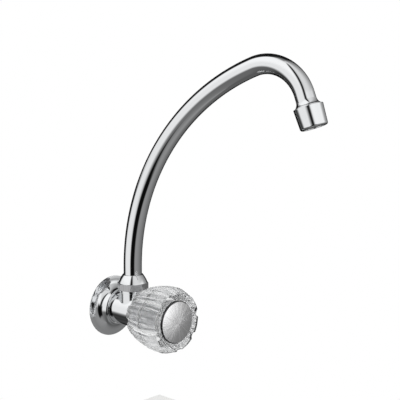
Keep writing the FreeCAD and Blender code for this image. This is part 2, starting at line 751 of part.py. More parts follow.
def make_acrylic_handle():
    lead, start, reach, widest, round_radius, bend, end = handle_side(ZERO, ZERO)
    hub_bore = s.insert_radius + s.seat_gap
    recess = s.barrel_radius + s.handle_recess_gap
    hollow_floor = s.handle_recess_end + s.handle_floor
    seat_floor = s.handle_front - s.button_seat_depth
    body = turned("acrylic_handle", handle_frame, [
        (recess, s.handle_back),
        start + (reach, -1),
        widest + (round_radius, -1),
        bend,
        end,
        (s.button_seat_radius, s.handle_front),
        (s.button_seat_radius, seat_floor),
        (s.handle_hollow_radius, seat_floor),
        (s.handle_hollow_radius, hollow_floor),
        (s.handle_hub_radius, hollow_floor),
        (s.handle_hub_radius, s.handle_hub_end),
        (hub_bore, s.handle_hub_end),
        (hub_bore, s.handle_recess_end),
        (recess, s.handle_recess_end),
    ])
    repeat_round(body, cut_groove(body, s.flute_radius, s.flute_depth, True),
                 s.lobe_count * s.rib_count)
    repeat_round(body, cut_groove(body, s.notch_radius, s.notch_depth, False), s.lobe_count)


def make_handle_screw():
    head_back = insert_front + s.seat_gap
    head_front = head_back + s.screw_head_height
    body = turned("handle_screw", tap_frame, [
        (ZERO, spindle_end - s.screw_length),
        (s.screw_radius, spindle_end - s.screw_length),
        (s.screw_radius, head_back),
        (s.screw_head_radius, head_back),
        (s.screw_head_radius, head_front),
        (ZERO, head_front),
    ])
    sketch = new_sketch(body, "XY_Plane", lift=head_front - s.screw_slot)
    half = s.screw_slot / 2
    far = s.screw_head_radius + s.overrun
    draw(sketch, [(-far, -half), (far, -half), (far, half), (-far, half)])
    pocket(body, sketch, s.screw_slot + s.overrun)


cap_back = s.handle_front - s.button_seat_depth + s.seat_gap
cap_front = s.handle_front + s.button_stand
plate_radius = s.button_radius - s.button_bevel


def make_button_cap():
    turned("button_cap", tap_frame, [
        (s.button_radius - s.button_skirt, cap_back),
        (s.button_radius, cap_back),
        (s.button_radius, s.handle_front),
        (plate_radius, cap_front),
        (plate_radius, cap_front - s.plate_recess),
        (ZERO, cap_front - s.plate_recess),
        (ZERO, cap_front - s.plate_recess - s.button_top),
        (s.button_radius - s.button_skirt, s.handle_front - s.button_top),
    ])


def make_button_plate():
    edge = plate_radius - s.seat_gap
    back = cap_front - s.plate_recess + s.seat_gap
    front = back + s.plate_thickness
    crown_radius = (edge * edge + s.plate_crown * s.plate_crown) / (2 * s.plate_crown)
    turned("button_plate", tap_frame, [
        (ZERO, back),
        (edge, back),
        (edge, front, crown_radius, -1),
        (ZERO, front + s.plate_crown),
    ])


# Spout: bush, seals, slip ring, tube and outlet. It swivels about the branch axis.

def make_spout_nut():
    corner = corner_radius(s.nut_flats, OCTAGON_COUNT)
    thread = s.branch_thread_radius + s.thread_gap
    tube_hole = s.tube_radius + s.open_gap
    body = turned("spout_nut", nut_frame, [
        (thread, s.nut_low),
        (corner - s.nut_chamfer, s.nut_low),
        (corner, s.nut_low + s.nut_chamfer),
        (corner, s.nut_band_top - s.nut_corner_drop),
        (s.nut_flats / 2, s.nut_band_top, s.nut_cone_round, -1),
        (s.nut_top_radius, s.nut_top),
        (tube_hole, s.nut_top),
        (tube_hole, s.nut_ledge),
        (s.nut_chamber_radius, s.nut_ledge),
        (s.nut_chamber_radius, s.nut_thread_top),
        (thread, s.nut_thread_top),
    ])
    cut_flats(body, OCTAGON_COUNT, s.nut_flats, s.nut_low, s.nut_top, corner)


def make_spout_bush():
    stem = s.socket_radius - s.running_gap
    floor = s.socket_radius - s.seal_squeeze - 2 * s.seal_wire_radius
    half = s.groove_width / 2
    spigot = s.tube_radius - s.tube_wall - s.seat_gap
    low = s.bush_flange_top - s.bush_length
    spigot_top = s.bush_flange_top + s.bush_spigot
    points = [(s.bush_bore_radius, low), (stem, low)]
    for place in (s.seal_low_place, s.seal_low_place + s.seal_spacing):
        points += [(stem, place - half), (floor, place - half), (floor, place + half), (stem, place + half)]
    points += [
        (stem, s.bush_flange_low),
        (s.bush_flange_radius, s.bush_flange_low),
        (s.bush_flange_radius, s.bush_flange_top),
        (spigot, s.bush_flange_top),
        (spigot, spigot_top),
        (s.bush_bore_radius, spigot_top),
    ]
    turned("spout_bush", branch_frame, points)


def make_seals():
    ring_radius = s.socket_radius - s.seal_squeeze - s.seal_wire_radius
    for label, place in (("o_ring_lower", s.seal_low_place),
                         ("o_ring_upper", s.seal_low_place + s.seal_spacing)):
        body = new_body(label, branch_frame)
        revolve(body, circle(new_sketch(body, "XZ_Plane"), s.seal_wire_radius, ring_radius, place))
    doc.recompute()


def make_slip_ring():
    low = s.bush_flange_top + s.seat_gap
    ring("slip_ring", branch_frame, s.tube_radius + s.slip_gap, s.bush_flange_radius,
         low, low + s.slip_ring_thickness)


def make_spout_tube():
    body = new_body("spout_tube", spout_frame)
    first_end = (s.long_bend_radius * (1 - cosine(s.long_bend_angle)),
                 s.tube_rise + s.long_bend_radius * sine(s.long_bend_angle))
    tail_end = (bend_reach + s.tube_tail * sine(both_bends),
                bend_height + s.tube_tail * cosine(both_bends))
    path = draw(new_sketch(body, "XZ_Plane"), [
        (ZERO, s.bush_flange_top),
        (ZERO, s.tube_rise, s.long_bend_radius, 1),
        first_end + (s.short_bend_radius, 1),
        (bend_reach, bend_height),
        tail_end,
    ], closed=False)
    section = new_sketch(body, "XY_Plane", lift=s.bush_flange_top)
    circle(section, s.tube_radius)
    circle(section, s.tube_radius - s.tube_wall)
    doc.recompute()
    tube = body.newObject("PartDesign::AdditivePipe", "spout_bend")
    tube.Profile = section
    tube.Spine = path
    doc.recompute()
    area = math.pi * (s.tube_radius.value ** 2 - (s.tube_radius - s.tube_wall).value ** 2)
    length = sum(edge.Length for edge in path.Shape.Edges)
    print("spout tube volume over section times length", round(body.Shape.Volume / (area * length), 5))


outlet_thread_end = s.housing_top + s.outlet_thread_length
housing_end = s.housing_top + s.housing_length
lip_face = housing_end - s.housing_lip
gasket_top = outlet_thread_end + s.seat_gap
cage_top = gasket_top + s.aerator_gasket_thickness + s.seat_gap
cage_bottom = lip_face - s.seat_gap


def make_outlet_cone():
    spigot = s.tube_radius - s.tube_wall - s.seat_gap
    turned("outlet_cone", outlet_frame, [
        (s.cone_bore_radius, s.tube_tail - s.cone_spigot),
        (spigot, s.tube_tail - s.cone_spigot),
        (spigot, s.tube_tail),
        (s.tube_radius, s.tube_tail, s.cone_round, 1),
        (s.cone_radius, s.cone_end),
        (s.cone_radius, s.housing_top - s.seat_gap),
        (s.outlet_thread_radius, s.housing_top - s.seat_gap),
        (s.outlet_thread_radius, outlet_thread_end),
        (s.cone_bore_radius, outlet_thread_end),
    ])


def make_aerator_housing():
    thread = s.outlet_thread_radius + s.thread_gap
    turned("aerator_housing", outlet_frame, [
        (thread, s.housing_top),
        (s.housing_top_radius - s.housing_edge, s.housing_top, s.housing_edge, 1),
        (s.housing_top_radius, s.housing_top + s.housing_edge),
        (s.housing_low_radius, housing_end - s.housing_round, s.housing_round, 1),
        (s.housing_low_radius - s.housing_round, housing_end),
        (s.housing_lip_radius, housing_end),
        (s.housing_lip_radius, lip_face),
        (thread, lip_face),
    ])


def make_aerator_gasket():
    ring("aerator_gasket", outlet_frame, s.cone_bore_radius, s.cage_radius,
         gasket_top, gasket_top + s.aerator_gasket_thickness)


def make_aerator_cage():
    # a cup with a floor of jet holes at its upper end, open to the outlet
    inner = s.cage_radius - s.cage_wall
    body = turned("aerator_cage", outlet_frame, [
        (ZERO, cage_top),
        (s.cage_radius, cage_top),
        (s.cage_radius, cage_bottom),
        (inner, cage_bottom),
        (inner, cage_top + s.cage_floor),
        (ZERO, cage_top + s.cage_floor),
    ])
    drill_ring(body, CAGE_HOLE_COUNT, s.cage_hole_radius, s.cage_hole_circle,
               cage_top - s.overrun, cage_top + s.cage_floor + s.overrun)


def make_screen(label, radius, top):
    # a fine screen, as a plate with rings of holes
    body = turned(label, outlet_frame, [
        (ZERO, top),
        (radius, top),
        (radius, top + s.screen_thickness),
        (ZERO, top + s.screen_thickness),
    ])
    for index, count in enumerate(SCREEN_HOLE_COUNTS):
        drill_ring(body, count, s.screen_hole_radius, s.screen_pitch * index,
                   top - s.overrun, top + s.screen_thickness + s.overrun)


make_tap_body()
make_wall_flange()
make_bonnet()
make_bonnet_gasket()
make_gland_packing()
make_gland_nut()
make_spout_nut()
make_jumper()
make_seat_washer()
make_washer_nut()
make_spindle()
make_handle_insert()
make_acrylic_handle()
make_handle_screw()
make_button_cap()
make_button_plate()
make_spout_bush()
make_seals()
make_slip_ring()
make_spout_tube()
make_outlet_cone()
make_aerator_housing()
make_aerator_gasket()
make_aerator_cage()
cage_inner = s.cage_radius - s.cage_wall - s.seat_gap
make_screen("inlet_screen", cage_inner, cage_top + s.cage_floor + s.seat_gap)
make_screen("outlet_screen", cage_inner, cage_bottom - s.screen_standoff - s.screen_thickness)

doc.recompute()

for thing in doc.Objects:
    if "Invalid" in thing.State or "Error" in thing.State:
        raise RuntimeError(f"{thing.Name} is {thing.State}")
for body in pieces:
    if body.Shape.isNull() or not body.Shape.isValid() or len(body.Shape.Solids) != 1:
        raise RuntimeError(f"{body.Label} is not one valid solid")

os.makedirs("parts", exist_ok=True)
for body in pieces:
    body.Shape.exportStep(f"parts/{body.Label}.step")
    print(body.Label, round(body.Shape.Volume, 1))
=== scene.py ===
import bpy
import bmesh
import json
import math
from mathutils import Matrix, Vector


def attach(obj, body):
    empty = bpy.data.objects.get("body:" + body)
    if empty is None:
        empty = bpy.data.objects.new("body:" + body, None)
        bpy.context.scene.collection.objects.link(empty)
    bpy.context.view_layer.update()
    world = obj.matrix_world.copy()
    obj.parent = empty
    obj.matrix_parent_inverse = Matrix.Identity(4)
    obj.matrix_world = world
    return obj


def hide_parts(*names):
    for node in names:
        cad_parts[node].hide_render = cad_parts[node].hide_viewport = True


# A laundry tap: chrome body and swan-neck spout, clear fluted handle, brushed button.
# Sizes of pieces are in millimetres and multiplied by mm where a mesh is made. Sizes in materials
# are in metres, as Object coordinates are, and so are the floor's.

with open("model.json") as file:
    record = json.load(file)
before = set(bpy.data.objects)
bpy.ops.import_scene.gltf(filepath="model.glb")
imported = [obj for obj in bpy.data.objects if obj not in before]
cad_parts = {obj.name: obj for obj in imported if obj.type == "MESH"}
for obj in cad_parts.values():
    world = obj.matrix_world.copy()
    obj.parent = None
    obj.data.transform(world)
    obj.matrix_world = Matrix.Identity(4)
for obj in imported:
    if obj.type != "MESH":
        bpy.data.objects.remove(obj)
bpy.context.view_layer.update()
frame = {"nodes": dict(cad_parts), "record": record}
scene = bpy.context.scene
mm = 0.001
print("frame loaded")

# Camera, at the photograph's angle

cameraSet = {"azimuth": -46.3, "elevation": 8.5, "distance": 849, "focalPixels": 966, "imagePixels": 400,
             "sensor": 36, "aimHeight": 34.4, "aimAhead": 27.5, "shiftRight": 59.06, "shiftUp": 63.74,
             "nearest": 0.01, "farthest": 50}


def directionAt(azimuth, elevation):
    # from the tap outwards: azimuth 0 is towards -Y and grows towards +X
    turn = math.radians(azimuth)
    rise = math.radians(elevation)
    return Vector((math.sin(turn) * math.cos(rise), -math.cos(turn) * math.cos(rise), math.sin(rise)))


def makeCamera(values):
    turn = math.radians(values["azimuth"])
    back = directionAt(values["azimuth"], values["elevation"])
    right = Vector((math.cos(turn), math.sin(turn), 0))
    up = back.cross(right)
    aim = Vector((0, -values["aimAhead"], values["aimHeight"]))
    place = aim + back * values["distance"] + right * values["shiftRight"] + up * values["shiftUp"]
    data = bpy.data.cameras.new("camera")
    data.sensor_width = values["sensor"]
    data.lens = data.sensor_width * values["focalPixels"] / values["imagePixels"]
    data.clip_start = values["nearest"]
    data.clip_end = values["farthest"]
    camera = bpy.data.objects.new("camera", data)
    camera.location = place * mm
    camera.rotation_mode = "QUATERNION"
    camera.rotation_quaternion = (-back).to_track_quat("-Z", "Y")
    scene.collection.objects.link(camera)
    scene.camera = camera


makeCamera(cameraSet)


# Node helpers

def setInputs(tree, node, inputs):
    for name, value in inputs.items():
        socket = node.inputs[name]
        if isinstance(value, bpy.types.NodeSocket):
            tree.links.new(value, socket)
        else:
            socket.default_value = value


def addNode(tree, kind, inputs=None, **settings):
    node = tree.nodes.new(kind)
    for name, value in settings.items():
        setattr(node, name, value)
    setInputs(tree, node, inputs or {})
    return node


def calc(tree, operation, *values):
    return addNode(tree, "ShaderNodeMath", dict(enumerate(values)), operation=operation).outputs[0]


def mixValue(tree, share, first, second):
    return addNode(tree, "ShaderNodeMix", {0: share, 2: first, 3: second}, data_type="FLOAT").outputs[0]


def mixColour(tree, share, first, second):
    # each end is a socket or a colour of three numbers
    ends = [end if isinstance(end, bpy.types.NodeSocket) else (*end, 1) for end in (first, second)]
    return addNode(tree, "ShaderNodeMix", {0: share, 6: ends[0], 7: ends[1]}, data_type="RGBA").outputs[2]


def scaleColour(tree, colour, share):
    return addNode(tree, "ShaderNodeVectorMath", {0: colour, "Scale": share}, operation="SCALE").outputs[0]


def vectorNode(tree, operation, *vectors):
    return addNode(tree, "ShaderNodeVectorMath", dict(enumerate(vectors)), operation=operation)


def newGroup(name, inputs, outputs):
    group = bpy.data.node_groups.new(name, "ShaderNodeTree")
    for socketName, kind, default in inputs:
        socket = group.interface.new_socket(name=socketName, in_out="INPUT", socket_type=kind)
        if default is not None:
            socket.default_value = default
    for socketName, kind in outputs:
        group.interface.new_socket(name=socketName, in_out="OUTPUT", socket_type=kind)
    start = group.nodes.new("NodeGroupInput")
    end = group.nodes.new("NodeGroupOutput")
    return group, start, end


def useGroup(tree, group, inputs):
    return addNode(tree, "ShaderNodeGroup", inputs, node_tree=group)


# Studio: a white tent with soft panels and dark flags, told by direction

# centre and half width are azimuths in degrees, 0 towards -Y and positive towards +X;
# low and high are elevations; value is how bright the panel is; soft and edge are how far its
# sides and its ends fade; lean moves the centre with each degree of elevation
studioPanels = {
    "darkBehind": {"centre": 151, "half": 53, "low": -44, "high": 74, "value": 0.01, "soft": 10, "edge": 8},
    "softboxLeft": {"centre": -117, "half": 49, "low": -22, "high": 76, "value": 0.92, "soft": 9, "edge": 10,
                    "lean": 0.1},
    "softboxHigh": {"centre": -117, "half": 49, "low": 22, "high": 76, "value": 1.08, "soft": 9, "edge": 16,
                    "lean": 0.1},
    "softboxRight": {"centre": 6, "half": 46, "low": 4, "high": 24, "value": 1.04, "soft": 16, "edge": 7},
    "backFlagLeft": {"centre": -186, "half": 36, "low": -20, "high": 4, "value": 0.01, "soft": 10, "edge": 5},
    "floorFlagLeft": {"centre": -156, "half": 18, "low": -38, "high": -14, "value": 0.04, "soft": 9,
                      "edge": 6},
    "cameraFlagLow": {"centre": -48, "half": 26, "low": -46, "high": 2, "value": 0.004, "soft": 8, "edge": 6},
    "cameraSlit": {"centre": -55, "half": 11, "low": -4, "high": 76, "value": 0.015, "soft": 7, "edge": 6},
}
studioBase = {"brightAzimuth": -10, "upper": 0.2, "upperGain": 0.6, "lower": 0.11, "lowerGain": 0.19,
              "power": 2.2, "floorLine": -8, "floorSoft": 5, "through": 0.97}


def panelGroup():
    # mask of one panel: 1 inside its azimuths and elevations, with soft edges
    names = ("Azimuth", "Elevation", "Centre", "Half", "Low", "High", "Soft", "Edge", "Lean")
    group, start, end = newGroup("studioPanel", [(name, "NodeSocketFloat", 0.0) for name in names],
                                 [("Mask", "NodeSocketFloat")])
    given = start.outputs
    centre = calc(group, "MULTIPLY_ADD", given["Elevation"], given["Lean"], given["Centre"])
    away = calc(group, "SUBTRACT", given["Azimuth"], centre)
    away = calc(group, "WRAP", away, 180.0, -180.0)
    inside = calc(group, "SUBTRACT", given["Half"], calc(group, "ABSOLUTE", away))
    masks = [(inside, "Soft"), (calc(group, "SUBTRACT", given["Elevation"], given["Low"]), "Edge"),
             (calc(group, "SUBTRACT", given["High"], given["Elevation"]), "Edge")]
    total = None
    for distance, fade in masks:
        outside = calc(group, "MULTIPLY", given[fade], -1.0)
        step = addNode(group, "ShaderNodeMapRange", {
            "Value": distance, "From Min": outside, "From Max": given[fade]},
            interpolation_type="SMOOTHSTEP").outputs[0]
        total = step if total is None else calc(group, "MULTIPLY", total, step)
    setInputs(group, end, {"Mask": total})
    return group


def makeStudio(panels, base):
    world = bpy.data.worlds.new("studio")
    scene.world = world
    world.use_nodes = True
    tree = world.node_tree
    tree.nodes.clear()
    direction = addNode(tree, "ShaderNodeTexCoord").outputs["Generated"]
    parts = addNode(tree, "ShaderNodeSeparateXYZ", {"Vector": direction}).outputs
    ahead = calc(tree, "MULTIPLY", parts["Y"], -1.0)
    azimuth = calc(tree, "DEGREES", calc(tree, "ARCTAN2", parts["X"], ahead))
    elevation = calc(tree, "DEGREES", calc(tree, "ARCSINE", parts["Z"]))
    turned = calc(tree, "RADIANS", calc(tree, "SUBTRACT", azimuth, float(base["brightAzimuth"])))
    facing = calc(tree, "MULTIPLY_ADD", calc(tree, "COSINE", turned), 0.5, 0.5)
    facing = calc(tree, "POWER", facing, base["power"])
    upper = calc(tree, "MULTIPLY_ADD", facing, base["upperGain"], base["upper"])
    lower = calc(tree, "MULTIPLY_ADD", facing, base["lowerGain"], base["lower"])
    above = addNode(tree, "ShaderNodeMapRange", {
        "Value": elevation, "From Min": float(base["floorLine"] - base["floorSoft"]),
        "From Max": float(base["floorLine"] + base["floorSoft"])}, interpolation_type="SMOOTHSTEP").outputs[0]
    level = mixValue(tree, above, lower, upper)
    group = panelGroup()
    for panel in panels.values():
        shape = {name.capitalize(): value for name, value in panel.items() if name != "value"}
        mask = useGroup(tree, group, {"Azimuth": azimuth, "Elevation": elevation, "Lean": 0, **shape})
        level = mixValue(tree, mask.outputs["Mask"], level, panel["value"])
    path = addNode(tree, "ShaderNodeLightPath").outputs
    through = calc(tree, "MULTIPLY", path["Is Transmission Ray"], base["through"])
    white = calc(tree, "MAXIMUM", path["Is Camera Ray"], through)
    shown = mixValue(tree, white, level, 1.0)
    background = addNode(tree, "ShaderNodeBackground", {"Color": shown, "Strength": 1.0}).outputs[0]
    addNode(tree, "ShaderNodeOutputWorld", {"Surface": background})


scene.view_settings.view_transform = "Standard"
makeStudio(studioPanels, studioBase)
print("camera and studio made")


# Materials

def newMaterial(name):
    material = bpy.data.materials.new(name)
    material.use_nodes = True
    tree = material.node_tree
    shader = tree.nodes["Principled BSDF"]
    place = addNode(tree, "ShaderNodeTexCoord").outputs["Object"]
    return material, tree, shader, place


def noise(tree, vector, scale, detail, **inputs):
    return addNode(tree, "ShaderNodeTexNoise", {
        "Vector": vector, "Scale": scale, "Detail": detail, **inputs}).outputs["Fac"]


def spread(tree, value, low, high, **inputs):
    # turns 0 to 1 into low to high
    return addNode(tree, "ShaderNodeMapRange", {
        "Value": value, "To Min": low, "To Max": high, **inputs}).outputs[0]


def bumpNormal(tree, height, strength, depth, **inputs):
    return addNode(tree, "ShaderNodeBump", {
        "Height": height, "Strength": strength, "Distance": depth, **inputs}).outputs[0]


polishSet = {"waveScale": 140.0, "clean": 0.35, "smudged": 0.7, "tint": 0.94}


def polishGroup(values):
    # faint buffing waves and smudges of a polished surface
    group, start, end = newGroup("polish", [
        ("Vector", "NodeSocketVector", None), ("Smudge Scale", "NodeSocketFloat", 60.0),
        ("Smooth", "NodeSocketFloat", 0.03), ("Dull", "NodeSocketFloat", 0.08),
    ], [("Roughness", "NodeSocketFloat"), ("Height", "NodeSocketFloat"), ("Tint", "NodeSocketFloat")])
    given = start.outputs
    smudge = noise(group, given["Vector"], given["Smudge Scale"], detail=4.0)
    rough = spread(group, smudge, given["Smooth"], given["Dull"],
                   **{"From Min": values["clean"], "From Max": values["smudged"]})
    setInputs(group, end, {
        "Roughness": rough,
        "Height": noise(group, given["Vector"], values["waveScale"], detail=1.0),
        "Tint": spread(group, smudge, 1.0, values["tint"]),
    })
    return group


turningSet = {"detail": 3.0, "fine": 0.7, "wearScale": 180.0, "least": 0.6, "uneven": 0.4}


def turningGroup(values):
    # fine lathe marks: shells of equal distance from the origin, stronger in some patches
    group, start, end = newGroup("turningMarks", [
        ("Vector", "NodeSocketVector", None), ("Rings", "NodeSocketFloat", 2500.0),
    ], [("Height", "NodeSocketFloat"), ("Wear", "NodeSocketFloat")])
    given = start.outputs
    away = vectorNode(group, "LENGTH", given["Vector"]).outputs["Value"]
    line = calc(group, "MULTIPLY", away, given["Rings"])
    marks = addNode(group, "ShaderNodeTexNoise", {
        "W": line, "Detail": values["detail"], "Roughness": values["fine"]},
        noise_dimensions="1D").outputs["Fac"]
    patch = noise(group, given["Vector"], values["wearScale"], detail=values["detail"])
    strength = calc(group, "MULTIPLY_ADD", patch, values["uneven"], values["least"])
    setInputs(group, end, {"Height": calc(group, "MULTIPLY", marks, strength), "Wear": patch})
    return group


def axisGroup():
    # distance from the axis along Y, which the handle turns about
    group, start, end = newGroup("axisDistance", [("Vector", "NodeSocketVector", None)],
                                 [("Distance", "NodeSocketFloat")])
    flat = vectorNode(group, "MULTIPLY", start.outputs["Vector"], (1, 0, 1)).outputs[0]
    setInputs(group, end, {"Distance": vectorNode(group, "LENGTH", flat).outputs["Value"]})
    return group


polish = polishGroup(polishSet)
turning = turningGroup(turningSet)
axisDistance = axisGroup()


def fromAxis(tree, place, radius):
    # 1 beyond the radius from the axis along Y
    away = useGroup(tree, axisDistance, {"Vector": place}).outputs["Distance"]
    return calc(tree, "GREATER_THAN", away, radius)


chromeSet = {"colour": (0.86, 0.87, 0.88), "smooth": 0.02, "dull": 0.05, "smudgeScale": 45.0, "bump": 0.004,
             "depth": 0.001}


def chromeMaterial(name, values, **changes):
    values = {**values, **changes}
    material, tree, shader, place = newMaterial(name)
    marks = useGroup(tree, polish, {"Vector": place, "Smudge Scale": values["smudgeScale"],
                                    "Smooth": values["smooth"], "Dull": values["dull"]}).outputs
    setInputs(tree, shader, {
        "Base Color": scaleColour(tree, values["colour"], marks["Tint"]),
        "Roughness": marks["Roughness"],
        "Normal": bumpNormal(tree, marks["Height"], values["bump"], values["depth"]),
        "Metallic": 1.0,
    })
    return material


# painted shade on the button's rim: how far from the axis it begins and how dark it is
buttonGapShade = {"radius": 0.0175, "dark": 0.1, "smudgeScale": 80.0}


def gapShadeMaterial(name, values, gapShade):
    # polished, with painted shade on the rim round the axis along Y: the rim is darkened to stand for the
    # shadow in the gap between the button and its seat
    material = chromeMaterial(name, values, smudgeScale=gapShade["smudgeScale"])
    tree = material.node_tree
    shader = tree.nodes["Principled BSDF"]
    place = addNode(tree, "ShaderNodeTexCoord").outputs["Object"]
    # painted shade: beyond the radius the base colour is darkened, as the gap's shadow
    share = spread(tree, fromAxis(tree, place, gapShade["radius"]), 1.0, gapShade["dark"])
    polished = shader.inputs["Base Color"].links[0].from_socket
    setInputs(tree, shader, {"Base Color": scaleColour(tree, polished, share)})
    return material


nutFinish = {"bandLow": 0.0199, "bandHigh": 0.0259, "soft": 0.00015, "rough": 0.34, "stripes": 900.0,
             "colour": (0.62, 0.62, 0.63), "dark": (0.42, 0.42, 0.43), "bump": 0.35, "depth": 0.0001,
             "smudgeScale": 70.0}


def nutMaterial(name, values, band):
    # polished cone over a band whose flats are left with fine upright marks
    material = chromeMaterial(name, values, smudgeScale=band["smudgeScale"])
    tree = material.node_tree
    shader = tree.nodes["Principled BSDF"]
    place = addNode(tree, "ShaderNodeTexCoord").outputs["Object"]
    height = addNode(tree, "ShaderNodeSeparateXYZ", {"Vector": place}).outputs["Z"]
    masks = []
    for edge, soft in ((band["bandLow"], band["soft"]), (band["bandHigh"], -band["soft"])):
        fade = {"From Min": edge - soft, "From Max": edge + soft}
        masks.append(spread(tree, height, 0.0, 1.0, **fade))
    mask = calc(tree, "MULTIPLY", *masks)
    flat = vectorNode(tree, "MULTIPLY", place, (1, 1, 0)).outputs[0]
    marks = noise(tree, flat, band["stripes"], detail=3.0)
    polished = {socket.name: socket.links[0].from_socket for socket in shader.inputs if socket.is_linked}
    satin = mixColour(tree, marks, band["dark"], band["colour"])
    raised = calc(tree, "MULTIPLY", marks, mask)
    setInputs(tree, shader, {
        "Base Color": mixColour(tree, mask, polished["Base Color"], satin),
        "Roughness": mixValue(tree, mask, polished["Roughness"], band["rough"]),
        "Normal": bumpNormal(tree, raised, band["bump"], band["depth"], Normal=polished["Normal"]),
    })
    return material


metalSet = {
    "brass": {"colour": (0.66, 0.5, 0.24), "worn": (0.5, 0.36, 0.15), "rough": 0.28, "uneven": 0.15,
              "rings": 2200.0, "bump": 0.12, "depth": 0.0002},
    "steel": {"colour": (0.6, 0.6, 0.61), "worn": (0.42, 0.42, 0.43), "rough": 0.3, "uneven": 0.15,
              "rings": 3000.0, "bump": 0.12, "depth": 0.0002},
}


def machinedMaterial(name, values):
    material, tree, shader, place = newMaterial(name)
    marks = useGroup(tree, turning, {"Vector": place, "Rings": values["rings"]}).outputs
    setInputs(tree, shader, {
        "Base Color": mixColour(tree, marks["Wear"], values["colour"], values["worn"]),
        "Roughness": spread(tree, marks["Wear"], values["rough"], values["rough"] + values["uneven"]),
        "Normal": bumpNormal(tree, marks["Height"], values["bump"], values["depth"]),
        "Metallic": 1.0,
    })
    return material


plateSet = {"colour": (1.0, 1.0, 1.0), "dark": (0.6, 0.6, 0.61), "rough": 0.2, "uneven": 0.12, "spokes": 30.0,
            "broadSpokes": 7.5, "fineRough": 0.65, "bump": 0.45, "depth": 0.0004}


def brushedMaterial(name, values):
    # brushed outwards from the middle: fine lines that depend on the angle round the axis along Y
    material, tree, shader, place = newMaterial(name)
    parts = addNode(tree, "ShaderNodeSeparateXYZ", {"Vector": place}).outputs
    flat = addNode(tree, "ShaderNodeCombineXYZ", {"X": parts["X"], "Y": parts["Z"]}).outputs[0]
    spoke = vectorNode(tree, "NORMALIZE", flat).outputs[0]
    broad = noise(tree, spoke, values["broadSpokes"], detail=2.0)
    fine = noise(tree, spoke, values["spokes"], detail=4.0, Roughness=values["fineRough"])
    lines = calc(tree, "MULTIPLY_ADD", broad, 0.5, calc(tree, "MULTIPLY", fine, 0.5))
    setInputs(tree, shader, {
        "Base Color": mixColour(tree, lines, values["dark"], values["colour"]),
        "Roughness": spread(tree, lines, values["rough"], values["rough"] + values["uneven"]),
        "Normal": bumpNormal(tree, lines, values["bump"], values["depth"]),
        "Metallic": 1.0,
    })
    return material


softSet = {
    "rubber": {"colour": (0.02, 0.02, 0.02), "pale": (0.045, 0.045, 0.045), "rough": 0.6, "scale": 900.0,
               "bump": 0.2, "depth": 0.0002},
    "nylon": {"colour": (0.74, 0.73, 0.69), "pale": (0.84, 0.83, 0.8), "rough": 0.45, "scale": 700.0,
              "bump": 0.1, "depth": 0.0002},
    "fibre": {"colour": (0.22, 0.21, 0.2), "pale": (0.38, 0.37, 0.34), "rough": 0.75, "scale": 1500.0,
              "bump": 0.5, "depth": 0.0002},
    "packing": {"colour": (0.2, 0.2, 0.2), "pale": (0.38, 0.38, 0.37), "rough": 0.7, "scale": 1200.0,
                "bump": 0.6, "depth": 0.0002},
}


def mattMaterial(name, values):
    material, tree, shader, place = newMaterial(name)
    grain = noise(tree, place, values["scale"], detail=6.0)
    setInputs(tree, shader, {
        "Base Color": mixColour(tree, grain, values["colour"], values["pale"]),
        "Roughness": values["rough"],
        "Normal": bumpNormal(tree, grain, values["bump"], values["depth"]),
    })
    return material


# inner is the radius inside which the surface is left rough, as the mould leaves it; patchRibs is how
# many ribs, and 1 / patchAlong how many metres along them, share one patch of painted shade
acrylicSet = {"colour": (0.985, 0.99, 0.993), "shade": (0.62, 0.63, 0.64), "ior": 1.49, "smooth": 0.02,
              "dull": 0.07, "smudgeScale": 90.0, "ribs": 32, "phase": 7.0, "inner": 0.0195, "inside": 0.3,
              "paintedShadeStrength": 1.8, "narrow": 2.0, "patchRibs": 6, "patchAlong": 60.0, "through": 0.97}


def acrylicMaterial(name, values):
    material, tree, shader, place = newMaterial(name)
    marks = useGroup(tree, polish, {"Vector": place, "Smudge Scale": values["smudgeScale"],
                                    "Smooth": values["smooth"], "Dull": values["dull"]}).outputs
    # painted shade: the base colour is darkened in the moulded grooves along the ribs, unevenly from rib to
    # rib, for the shade that falls in them
    parts = addNode(tree, "ShaderNodeSeparateXYZ", {"Vector": place}).outputs
    angle = calc(tree, "ARCTAN2", parts["Z"], parts["X"])
    angle = calc(tree, "SUBTRACT", angle, math.radians(values["phase"]))
    wave = calc(tree, "COSINE", calc(tree, "MULTIPLY", angle, float(values["ribs"])))
    wave = calc(tree, "MULTIPLY_ADD", wave, 0.5, 0.5)
    along = addNode(tree, "ShaderNodeCombineXYZ", {
        "X": calc(tree, "MULTIPLY", angle, values["ribs"] / values["patchRibs"]),
        "Y": calc(tree, "MULTIPLY", parts["Y"], values["patchAlong"])}).outputs[0]
    patch = noise(tree, along, scale=1.0, detail=3.0)
    outside = fromAxis(tree, place, values["inner"])
    shade = calc(tree, "MULTIPLY", calc(tree, "POWER", wave, values["narrow"]), patch)
    shade = calc(tree, "MULTIPLY", calc(tree, "MULTIPLY", shade, outside), values["paintedShadeStrength"])
    setInputs(tree, shader, {
        "Base Color": mixColour(tree, shade, values["colour"], values["shade"]),
        "Roughness": mixValue(tree, outside, values["inside"], marks["Roughness"]),
        "IOR": values["ior"],
        "Transmission Weight": values["through"],
    })
    return material


